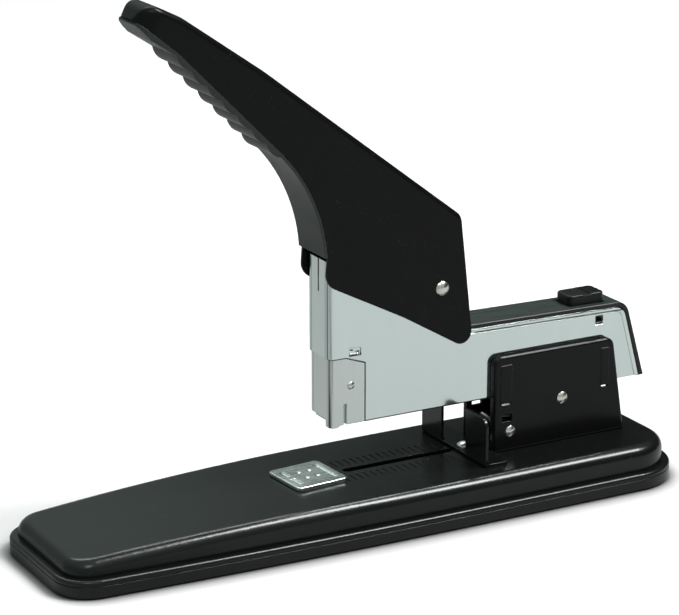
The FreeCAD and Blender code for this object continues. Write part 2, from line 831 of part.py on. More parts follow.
def make_handle_insert():
    """The moulded grip under the handle, with a row of finger waves."""
    half = handle_half_width
    edges = []
    nose = vec(insert_nose_x, -half, insert_nose_z)
    chin = vec(insert_nose_x + 5.2, -half, insert_nose_z - 6.0)
    cusp = vec(wave_first_x, -half, wave_first_z)
    edges.append(Part.makeLine(nose, chin))
    edges.append(Part.makeLine(chin, cusp))
    length = math.hypot(wave_step_x, wave_step_z)
    for i in range(wave_count):
        following = cusp.add(vec(wave_step_x, 0, wave_step_z))
        out = vec(wave_step_z / length, 0, -wave_step_x / length).multiply(wave_bulge)
        crest = cusp.add(following).multiply(0.5).add(out)
        edges.append(Part.Arc(cusp, crest, following).toShape())
        cusp = following
    start, middle, end = [vec(p[0], -half, p[1]) for p in curved_under(0)]
    edges.append(Part.Arc(start, middle, end).toShape())
    back_start, back_middle, back_end = [vec(p[0], -half, p[1]) for p in curved_under(insert_wall)]
    edges.append(Part.makeLine(end, back_end))
    edges.append(Part.Arc(back_end, back_middle, back_start).toShape())
    inside = vec(insert_nose_x + 14.2, -half, insert_nose_z - 4.0)
    edges.append(Part.makeLine(back_start, inside))
    roof = vec(insert_nose_x + 2.6, -half, insert_nose_z + 2.5)
    edges.append(Part.makeLine(inside, roof))
    edges.append(Part.makeLine(roof, nose))
    grip = Part.Face(Part.Wire(edges)).extrude(vec(0, 2 * half, 0)).common(nose_rounding(-0.4))
    cavity = half - sheet - gap
    shell_zone = handle_side(0, lip_height - gap, -half - 1, half + 1)
    core = handle_side(sheet + gap, -8, -cavity, cavity).common(nose_rounding(sheet + gap))
    return grip.cut(shell_zone).fuse(grip.common(shell_zone).common(core)).removeSplitter()


def web_height(x):
    """Underside of the handle's top web."""
    rise = (bend_z - crown_z) / (crown_x - bend_x)
    return crown_z + rise * (crown_x - x) - 1.25 * sheet - gap


def make_press_lever():
    """A fork inside the handle: two plates from the pivot to the driver, joined under the web."""
    corners = [
        (handle_pivot_x + 6, handle_pivot_z - 6, 4.0),
        (pin_x - 3.2, pin_z - 3.2, 3.0),
        (pin_x - 3.2, pin_z + 3.2, 3.0),
        (2.0, pin_z + 9, 4.0),
        (10.0, web_height(10.0), 0),
        (30.0, web_height(30.0), 0),
        (handle_pivot_x + 6.5, handle_pivot_z + 6, 4.0),
    ]
    plate = side_plate(corners, lever_half_width - lever_sheet, lever_half_width)
    web = [
        (10.0, web_height(10.0), 0),
        (30.0, web_height(30.0), 0),
        (30.0, web_height(30.0) - 2.0, 0),
        (10.0, web_height(10.0) - 2.0, 0),
    ]
    lever = both_sides(plate).fuse(side_plate(web, -lever_half_width, lever_half_width))
    lever = lever.cut(pin_y(handle_pivot_x, handle_pivot_z, handle_pivot_radius + running, -20, 20))
    return lever.cut(pin_y(pin_x, pin_z, pin_radius + running, -20, 20)).removeSplitter()


def make_lever_pin():
    return pin_y(pin_x, pin_z, pin_radius, -lever_half_width - 0.4, lever_half_width + 0.4)


# ---------------------------------------------------------------- driver

block_front = blade_front + blade_thickness
block_rear = driver_spring_x - driver_spring_radius
block_bottom = pin_z - 6.0
block_top = pin_z + 6.4
block_half_width = lever_half_width - lever_sheet - 0.5
pin_room = 0.6                # above and below the pin in the block's slot
pin_travel_x = 5.8            # how far the lever's pin runs along the block as the handle comes down
arm_bottom = pin_z + 16.0
arm_thickness = 3.0
blade_rivet_radius = 0.9
blade_rivet_y = 3.4
blade_rivet_z = pin_z - 4.2


def blade_rivet_holes():
    return group([Part.makeCylinder(blade_rivet_radius + running, 6,
                                    vec(blade_front - 1, side * blade_rivet_y, blade_rivet_z),
                                    vec(1, 0, 0)) for side in (-1, 1)])


def make_driver_block():
    """The slide behind the blade, with an arm on top that sits on the return spring."""
    half = block_half_width
    block = box(block_front, block_rear, -half, half, block_bottom, block_top)
    upright = box(block_rear - arm_thickness, block_rear, -half, half, block_top, arm_bottom)
    arm = box(block_rear - arm_thickness, driver_spring_x + driver_spring_radius, -half, half,
              arm_bottom, arm_bottom + arm_thickness)
    slot = box(pin_x - pin_radius - pin_room, pin_x + pin_radius + pin_travel_x + 0.4, -20, 20,
               pin_z - pin_radius - pin_room, pin_z + pin_radius + pin_room)
    slot = fillet_where(slot, 2.0, lambda e: abs(middle_of(e).y) < 1e-3)
    return block.fuse(upright).fuse(arm).cut(slot).removeSplitter().cut(blade_rivet_holes())


def make_driver_blade():
    blade = box(blade_front, block_front, -blade_half_width, blade_half_width,
                blade_bottom, block_top)
    return blade.cut(blade_rivet_holes())


def make_blade_rivets():
    return group([Part.makeCylinder(blade_rivet_radius, 4.7,
                                    vec(blade_front, side * blade_rivet_y, blade_rivet_z),
                                    vec(1, 0, 0)) for side in (-1, 1)])


def make_driver_spring():
    """Stand-in tube for the coil that lifts the driver and the handle."""
    return tube_z(driver_spring_x, 0, driver_spring_radius - 0.2, driver_spring_radius - 1.4,
                  seat_z, arm_bottom)


# ---------------------------------------------------------------- magazine

channel_half_width = nose_half_width - nose_sheet - gap
channel_floor = channel_bottom + channel_sheet
strip_front = block_front + slack
strip_rear = strip_front + strip_length
staple_bottom = channel_floor + gap
staple_top = staple_bottom + staple_leg + staple_wire
rail_half_width = staple_crown / 2 - staple_wire - 0.2


def make_magazine_nose():
    corners = [
        (nose_front, nose_bottom, 0),
        (-12.2, nose_bottom, 0),
        (-10.4, nose_bottom + 0.8, 0),
        (notch_rear - slack - 0.1, nose_bottom + 0.8, 0),
        (notch_rear - slack - 0.1, nose_top - 3.2, 0),
        (-8.0, nose_top, 0),
        (nose_front, nose_top, 0),
    ]
    nose = side_plate(corners, -nose_half_width, nose_half_width)
    nose = fillet_where(nose, 2.0, lambda e: is_upright(e) and middle_of(e).x < nose_front + 0.01)
    inner = nose_half_width - nose_sheet
    nose = nose.cut(box(nose_front + nose_sheet, 20, -inner, inner, 30, 90))
    # a mouth in the front for clearing a jam, which runs out past one corner
    mouth = [(-4.6, 30, 0), (20, 30, 0), (20, nose_bottom + 3.3, 0), (-4.6, nose_bottom + 3.3, 1.2)]
    nose = nose.cut(cross_plate(mouth, nose_front - 1, -9.4))
    slot = box(-9.1, -7.7, -20, 20, 30, nose_bottom + 9.8)
    nose = nose.cut(slot)
    seam = box(nose_front - 1, nose_front + 0.3, -7.3, -7.0, 30, 90)
    nose = nose.cut(seam)
    return nose.cut(pin_y(nose_rivet_x, nose_rivet_z, nose_rivet_radius + running, -20, 20))


def make_nose_rivets():
    rivets = []
    for side in (-1, 1):
        inner = side * (channel_half_width - channel_sheet)
        outer = side * nose_half_width
        shank = pin_y(nose_rivet_x, nose_rivet_z, nose_rivet_radius, min(inner, outer),
                      max(inner, outer))
        rivets.append(shank.fuse(dome(nose_rivet_x, outer, nose_rivet_z, 1.7, 0.7, (0, side, 0))))
    return group(rivets)


def make_magazine_channel():
    half = channel_half_width
    inner = half - channel_sheet
    trough = box(strip_front - 0.2, channel_rear, -half, half, channel_bottom, channel_top)
    trough = trough.cut(box(strip_front - 1, channel_rear + 1, -inner, inner, channel_floor, 90))
    tab = box(tab_x, tab_x + 1.5, -inner, inner, channel_floor, channel_top)
    tail = box(tab_x, channel_rear, -inner, inner, channel_top - 1.2, channel_top)
    track = box(tab_x + 4, channel_rear + 1, -2.2, 2.2, channel_top - 3, channel_top + 1)
    trough = trough.fuse(tab).fuse(tail).cut(track)
    trough = trough.cut(Part.makeCylinder(rod_radius + running, 10, vec(tab_x - 4, 0, rod_z), vec(1, 0, 0)))
    trough = trough.cut(pin_y(nose_rivet_x, nose_rivet_z, nose_rivet_radius + running, -20, 20))
    return trough.removeSplitter()


def arch(x0, x1, half, sides, z0, z1, top):
    """An inverted U along X."""
    block = box(x0, x1, -half, half, z0, z1)
    return block.cut(box(x0 - 1, x1 + 1, -half + sides, half - sides, z0 - 1, z1 - top))


def make_staple_rail():
    return arch(strip_front + 0.5, tab_x, rail_half_width, rail_sheet, channel_floor,
                staple_top - staple_wire - 0.2, rail_sheet)


def make_staple_strip():
    return arch(strip_front, strip_rear, staple_crown / 2, staple_wire, staple_bottom,
                staple_top, staple_wire)


pusher_front = strip_rear + gap
pusher_rear = pusher_front + pusher_length


def make_pusher_block():
    half = channel_half_width - channel_sheet - slack
    rail_room = half - rail_half_width - 0.2
    block = arch(pusher_front, pusher_rear, half, rail_room, channel_floor + 0.4,
                 rod_z + 4, rod_z + 4 - staple_top + staple_wire - 0.1)
    return block.cut(Part.makeCylinder(rod_radius + gap, 60, vec(0, 0, rod_z), vec(1, 0, 0)))


def make_pusher_rod():
    return Part.makeCylinder(rod_radius, tab_x + 2.5 - rod_front, vec(rod_front, 0, rod_z), vec(1, 0, 0))


def make_pusher_spring():
    """Stand-in tube for the coil on the rod behind the pusher."""
    length = tab_x - pusher_rear
    tube = Part.makeCylinder(3.3, length, vec(pusher_rear, 0, rod_z), vec(1, 0, 0))
    return tube.cut(Part.makeCylinder(2.4, length + 2, vec(pusher_rear - 1, 0, rod_z), vec(1, 0, 0)))


# ---------------------------------------------------------------- release button

latch_plate_top = channel_top + 2.2
latch_stem_radius = 1.6


def make_latch_plate():
    """A shelf inside the body that carries the button's spring and guides its stem."""
    inner = body_half_width - body_sheet
    shelf = box(button_x - 12, button_x + 12, -inner, inner, latch_plate_top - 1.2, latch_plate_top)
    shelf = shelf.cut(both_sides(box(113, 120, 5.5, 12, 60, 80)))
    return shelf.cut(pin_z_axis(button_x, 0, latch_stem_radius + running, 60, 80))


def make_release_button():
    x0 = button_x - button_length / 2
    x1 = button_x + button_length / 2
    half = button_half_width
    button = box(x0, x1, -half, half, button_bottom, button_top)
    button = fillet_where(button, 2.4, is_upright)
    button = fillet_where(button, 0.9, lambda e: middle_of(e).z > button_top - 0.01)
    # a raised panel in front, a shallow step and five grip ridges behind
    button = button.cut(box(x0 + 7.0, x0 + 11.0, -half - 1, half - 1.2, button_top - 0.5, button_top + 1))
    for i in range(5):
        x = x0 + 11.6 + i * 1.1
        button = button.cut(box(x, x + 0.5, -half + 0.8, half - 0.8, button_top - 0.5, button_top + 1))
    return button


def make_button_spring():
    """Stand-in tube for the coil under the button."""
    return tube_z(button_x, 0, 3.4, 2.6, latch_plate_top, button_bottom)


def make_latch_stem():
    """The button's stem, whose tooth runs in the track of the magazine's tail."""
    stem = pin_z_axis(button_x, 0, latch_stem_radius, channel_top - 1.4, button_bottom)
    tooth = box(button_x - 1.8, button_x + 1.8, -1.9, 1.9, channel_top - 2.6, channel_top - 1.4)
    return stem.fuse(tooth)


nodes = {
    "base_mat": make_base_mat,
    "base_tray": make_base_tray,
    "base_cover": make_base_cover,
    "base_screws": make_base_screws,
    "anvil_plate": make_anvil_plate,
    "anvil_pin": make_anvil_pin,
    "anvil_clip": make_anvil_clip,
    "anvil_spring": make_anvil_spring,
    "guide_plate": make_guide_plate,
    "guide_rivet": make_guide_rivet,
    "guide_slider": make_guide_slider,
    "rear_bracket": make_rear_bracket,
    "bracket_screws": make_bracket_screws,
    "bracket_nuts": make_bracket_nuts,
    "pivot_pin": lambda: headed_pin(pivot_x, pivot_z, pivot_radius, bracket_half_width, 2.7, 1.0),
    "pivot_washers": make_pivot_washers,
    "stop_rivet": lambda: headed_pin(stop_x, stop_z, stop_radius, bracket_half_width, 2.5, 0.9),
    "tilt_spring": make_tilt_spring,
    "body_frame": make_body_frame,
    "top_cover": make_top_cover,
    "spring_seat": make_spring_seat,
    "handle_rivet": make_handle_rivet,
    "handle_shell": make_handle_shell,
    "handle_insert": make_handle_insert,
    "press_lever": make_press_lever,
    "lever_pin": make_lever_pin,
    "driver_block": make_driver_block,
    "driver_blade": make_driver_blade,
    "blade_rivets": make_blade_rivets,
    "driver_spring": make_driver_spring,
    "magazine_nose": make_magazine_nose,
    "nose_rivets": make_nose_rivets,
    "magazine_channel": make_magazine_channel,
    "staple_rail": make_staple_rail,
    "staple_strip": make_staple_strip,
    "pusher_block": make_pusher_block,
    "pusher_rod": make_pusher_rod,
    "pusher_spring": make_pusher_spring,
    "latch_plate": make_latch_plate,
    "release_button": make_release_button,
    "button_spring": make_button_spring,
    "latch_stem": make_latch_stem,
}

os.makedirs("parts", exist_ok=True)
for name, make in nodes.items():
    shape = make()
    solids = shape.Solids
    if not solids or not shape.isValid():
        raise ValueError(name + " did not come out as a valid solid")
    shape = solids[0] if len(solids) == 1 else Part.makeCompound(solids)
    shape.exportStep("parts/" + name + ".step")
    bounds = shape.BoundBox
    print(name, len(solids), round(shape.Volume), "x %.1f %.1f y %.1f %.1f z %.1f %.1f" % (
        bounds.XMin, bounds.XMax, bounds.YMin, bounds.YMax, bounds.ZMin, bounds.ZMax))
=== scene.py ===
import math

import bpy
import numpy as np
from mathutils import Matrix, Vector


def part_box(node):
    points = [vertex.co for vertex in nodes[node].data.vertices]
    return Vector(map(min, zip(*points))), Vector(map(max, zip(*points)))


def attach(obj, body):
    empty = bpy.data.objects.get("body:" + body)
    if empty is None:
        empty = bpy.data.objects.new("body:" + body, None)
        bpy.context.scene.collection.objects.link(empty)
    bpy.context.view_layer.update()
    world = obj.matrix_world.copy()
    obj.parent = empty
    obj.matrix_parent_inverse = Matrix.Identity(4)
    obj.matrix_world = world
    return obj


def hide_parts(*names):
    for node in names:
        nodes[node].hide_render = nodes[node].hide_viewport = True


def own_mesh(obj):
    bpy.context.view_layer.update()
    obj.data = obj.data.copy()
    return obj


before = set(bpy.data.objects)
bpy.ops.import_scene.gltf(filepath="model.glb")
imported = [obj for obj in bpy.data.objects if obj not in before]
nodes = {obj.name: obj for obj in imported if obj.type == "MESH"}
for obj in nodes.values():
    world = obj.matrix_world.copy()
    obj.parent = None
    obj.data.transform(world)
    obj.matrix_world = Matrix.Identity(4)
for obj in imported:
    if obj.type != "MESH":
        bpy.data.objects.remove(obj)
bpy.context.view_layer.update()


# shader helpers

# An empty shader group with named sockets; returns it with its two end nodes.
def makeGroup(name, inputs, outputs):
    tree = bpy.data.node_groups.new(name, "ShaderNodeTree")
    for label, kind, value in inputs:
        socket = tree.interface.new_socket(label, in_out="INPUT", socket_type=kind)
        if value is not None:
            socket.default_value = value
    for label, kind in outputs:
        tree.interface.new_socket(label, in_out="OUTPUT", socket_type=kind)
    return tree, tree.nodes.new("NodeGroupInput"), tree.nodes.new("NodeGroupOutput")


# A node with its settings, and with each input either linked or given a value.
def addNode(tree, kind, settings=None, **inputs):
    node = tree.nodes.new(kind)
    for key, value in (settings or {}).items():
        setattr(node, key, value)
    for key, value in inputs.items():
        name = int(key[1:]) if key[0] == "i" and key[1:].isdigit() else key.replace("_", " ")
        if isinstance(value, bpy.types.NodeSocket):
            tree.links.new(value, node.inputs[name])
        else:
            node.inputs[name].default_value = value
    return node


def math2(tree, operation, a, b, clamp=False):
    settings = {"operation": operation, "use_clamp": clamp}
    return addNode(tree, "ShaderNodeMath", settings, i0=a, i1=b).outputs[0]


def remap(tree, value, low, high, toLow, toHigh):
    node = addNode(tree, "ShaderNodeMapRange", {},
                   i0=value, i1=low, i2=high, i3=toLow, i4=toHigh)
    return node.outputs[0]


def blendColour(tree, factor, a, b):
    node = addNode(tree, "ShaderNodeMix", {"data_type": "RGBA"}, i0=factor, i6=a, i7=b)
    return node.outputs[2]


# effects that several finishes share

# Noise drawn out along one axis, as rolling, brushing or a mould's polish leaves.
def buildStreaks():
    tree, start, end = makeGroup("streaks", [
        ("Stretch", "NodeSocketVector", (1.0, 1.0, 1.0)),
        ("Scale", "NodeSocketFloat", 1500.0),
    ], [("Mask", "NodeSocketFloat")])
    coords = addNode(tree, "ShaderNodeTexCoord")
    shaped = addNode(tree, "ShaderNodeVectorMath", {"operation": "MULTIPLY"},
                     i0=coords.outputs["Object"], i1=start.outputs["Stretch"])
    noise = addNode(tree, "ShaderNodeTexNoise", {}, Vector=shaped.outputs[0],
                    Scale=start.outputs["Scale"], Detail=3.0, Roughness=0.6)
    tree.links.new(noise.outputs[0], end.inputs["Mask"])
    return tree


# The slight waviness and fine speckle of sprayed or moulded surfaces, as a height.
def buildPeel():
    tree, start, end = makeGroup("surfacePeel", [
        ("Wave Scale", "NodeSocketFloat", 400.0),
        ("Grain Scale", "NodeSocketFloat", 4000.0),
        ("Grain", "NodeSocketFloat", 0.3),
    ], [("Height", "NodeSocketFloat")])
    coords = addNode(tree, "ShaderNodeTexCoord")
    wave = addNode(tree, "ShaderNodeTexNoise", {}, Vector=coords.outputs["Object"],
                   Scale=start.outputs["Wave Scale"], Detail=1.0)
    grain = addNode(tree, "ShaderNodeTexNoise", {}, Vector=coords.outputs["Object"],
                    Scale=start.outputs["Grain Scale"], Detail=2.0)
    fine = math2(tree, "MULTIPLY", grain.outputs[0], start.outputs["Grain"])
    tree.links.new(math2(tree, "ADD", wave.outputs[0], fine), end.inputs["Height"])
    return tree


# A mask of the narrow band beside sharp edges, and a normal that rounds them.
def buildEdges():
    tree, start, end = makeGroup("softEdges", [
        ("Width", "NodeSocketFloat", 0.0004),
        ("Breakup", "NodeSocketFloat", 600.0),
    ], [("Mask", "NodeSocketFloat"), ("Normal", "NodeSocketVector")])
    rounded = addNode(tree, "ShaderNodeBevel", {"samples": 4}, Radius=start.outputs["Width"])
    flat = addNode(tree, "ShaderNodeNewGeometry")
    facing = addNode(tree, "ShaderNodeVectorMath", {"operation": "DOT_PRODUCT"},
                     i0=rounded.outputs[0], i1=flat.outputs["Normal"])
    turned = remap(tree, facing.outputs["Value"], 0.995, 0.86, 0.0, 1.0)
    coords = addNode(tree, "ShaderNodeTexCoord")
    noise = addNode(tree, "ShaderNodeTexNoise", {}, Vector=coords.outputs["Object"],
                    Scale=start.outputs["Breakup"], Detail=3.0)
    patchy = remap(tree, noise.outputs[0], 0.42, 0.62, 0.0, 1.0)
    tree.links.new(math2(tree, "MULTIPLY", turned, patchy), end.inputs["Mask"])
    tree.links.new(rounded.outputs[0], end.inputs["Normal"])
    return tree


# Sparse specks and faint cloudy smears of handling.
def buildDust():
    tree, start, end = makeGroup("handling", [
        ("Speck Scale", "NodeSocketFloat", 900.0),
        ("Speck Size", "NodeSocketFloat", 0.09),
        ("Cloud Scale", "NodeSocketFloat", 45.0),
    ], [("Specks", "NodeSocketFloat"), ("Clouds", "NodeSocketFloat")])
    coords = addNode(tree, "ShaderNodeTexCoord")
    cells = addNode(tree, "ShaderNodeTexVoronoi", {}, Vector=coords.outputs["Object"],
                    Scale=start.outputs["Speck Scale"], Randomness=1.0)
    few = addNode(tree, "ShaderNodeTexNoise", {}, Vector=coords.outputs["Object"], Scale=160.0)
    near = math2(tree, "LESS_THAN", cells.outputs["Distance"], start.outputs["Speck Size"])
    chosen = remap(tree, few.outputs[0], 0.55, 0.7, 0.0, 1.0)
    clouds = addNode(tree, "ShaderNodeTexNoise", {}, Vector=coords.outputs["Object"],
                     Scale=start.outputs["Cloud Scale"], Detail=4.0, Distortion=0.6)
    tree.links.new(math2(tree, "MULTIPLY", near, chosen), end.inputs["Specks"])
    tree.links.new(remap(tree, clouds.outputs[0], 0.35, 0.7, 0.0, 1.0), end.inputs["Clouds"])
    return tree


streakGroup = buildStreaks()
peelGroup = buildPeel()
edgeGroup = buildEdges()
handlingGroup = buildDust()
print("shared effects built")


def useGroup(tree, group, **values):
    node = tree.nodes.new("ShaderNodeGroup")
    node.node_tree = group
    for key, value in values.items():
        node.inputs[key.replace("_", " ")].default_value = value
    return node


# Soft-edged mask of the places where every limit holds, for painted shade and painted
# reflections: (quantity, low, high) in metres.
# Quantities: X, Y (either side of the middle), Z, and T = Z + slope * X for a sloping line.
def paintedShadeMask(tree, split, stripe):
    soft = stripe.get("soft", 0.0001)
    mask = None
    for quantity, low, high in stripe["limits"]:
        if quantity == "T":
            value = math2(tree, "MULTIPLY", split.outputs["X"], stripe["slope"])
            value = math2(tree, "ADD", value, split.outputs["Z"])
        else:
            value = split.outputs[quantity]
        if quantity == "Y":
            value = math2(tree, "ABSOLUTE", value, 0.0)
        inside = math2(tree, "MULTIPLY", remap(tree, value, low - soft, low + soft, 0.0, 1.0),
                       remap(tree, value, high - soft, high + soft, 1.0, 0.0))
        mask = inside if mask is None else math2(tree, "MULTIPLY", mask, inside)
    return mask


dust = {"colour": (0.45, 0.45, 0.44, 1.0), "rough": 0.4}


# One material: the colours, shine and texture given by its dictionary.
def makeFinish(name, look):
    material = bpy.data.materials.new(name)
    material.use_nodes = True
    tree = material.node_tree
    shader = tree.nodes["Principled BSDF"]
    shader.inputs["Metallic"].default_value = look.get("metal", 0.0)
    shader.inputs["Specular IOR Level"].default_value = look.get("specular", 0.5)

    handling = useGroup(tree, handlingGroup, Cloud_Scale=look.get("cloudScale", 45.0))
    streaks = useGroup(tree, streakGroup, Stretch=look.get("stretch", (1.0, 1.0, 1.0)),
                       Scale=look.get("streakScale", 1500.0))
    edges = useGroup(tree, edgeGroup, Width=look.get("edgeWidth", 0.0004))
    peel = useGroup(tree, peelGroup, Wave_Scale=look.get("waveScale", 400.0),
                    Grain_Scale=look.get("grainScale", 4000.0), Grain=look.get("grain", 0.3))

    base = look["colour"] + (1.0,)
    varied = look.get("second", look["colour"]) + (1.0,)
    colour = blendColour(tree, streaks.outputs["Mask"], base, varied)
    # edge wear and painted edge highlight: edges are lightened towards the wear-and-highlight
    # colour
    wornAndLit = math2(tree, "MULTIPLY", edges.outputs["Mask"], look.get("wearAndHighlight", 0.0))
    colour = blendColour(tree, wornAndLit, colour, look.get("wearAndHighlightColour", (0.3, 0.3, 0.3)) + (1.0,))
    dusty = math2(tree, "MULTIPLY", handling.outputs["Specks"], look.get("dust", 0.0))
    colour = blendColour(tree, dusty, colour, dust["colour"])
    # painted shade and painted reflections: each stripe darkens the colour inside its mask
    if "paintedShadeStripes" in look:
        coords = addNode(tree, "ShaderNodeTexCoord")
        split = addNode(tree, "ShaderNodeSeparateXYZ", {}, i0=coords.outputs["Object"])
        for stripe in look["paintedShadeStripes"]:
            colour = blendColour(tree, paintedShadeMask(tree, split, stripe), colour,
                                 stripe["colour"] + (1.0,))
    tree.links.new(colour, shader.inputs["Base Color"])

    spread = look.get("streakRough", 0.0)
    rough = remap(tree, streaks.outputs["Mask"], 0.3, 0.7,
                  look["rough"] - spread, look["rough"] + spread)
    smear = math2(tree, "MULTIPLY", handling.outputs["Clouds"], look.get("smear", 0.03))
    rough = math2(tree, "ADD", rough, smear)
    dull = math2(tree, "MULTIPLY", dusty, dust["rough"])
    rough = math2(tree, "ADD", rough, dull, clamp=True)
    tree.links.new(rough, shader.inputs["Roughness"])

    drawn = math2(tree, "MULTIPLY", streaks.outputs["Mask"], look.get("streakHeight", 0.0))
    height = math2(tree, "ADD", peel.outputs["Height"], drawn)
    bump = addNode(tree, "ShaderNodeBump", {}, Strength=look.get("bump", 0.1),
                   Distance=look.get("bumpDepth", 0.0001), Height=height,
                   Normal=edges.outputs["Normal"])
    tree.links.new(bump.outputs[0], shader.inputs["Normal"])
    return material


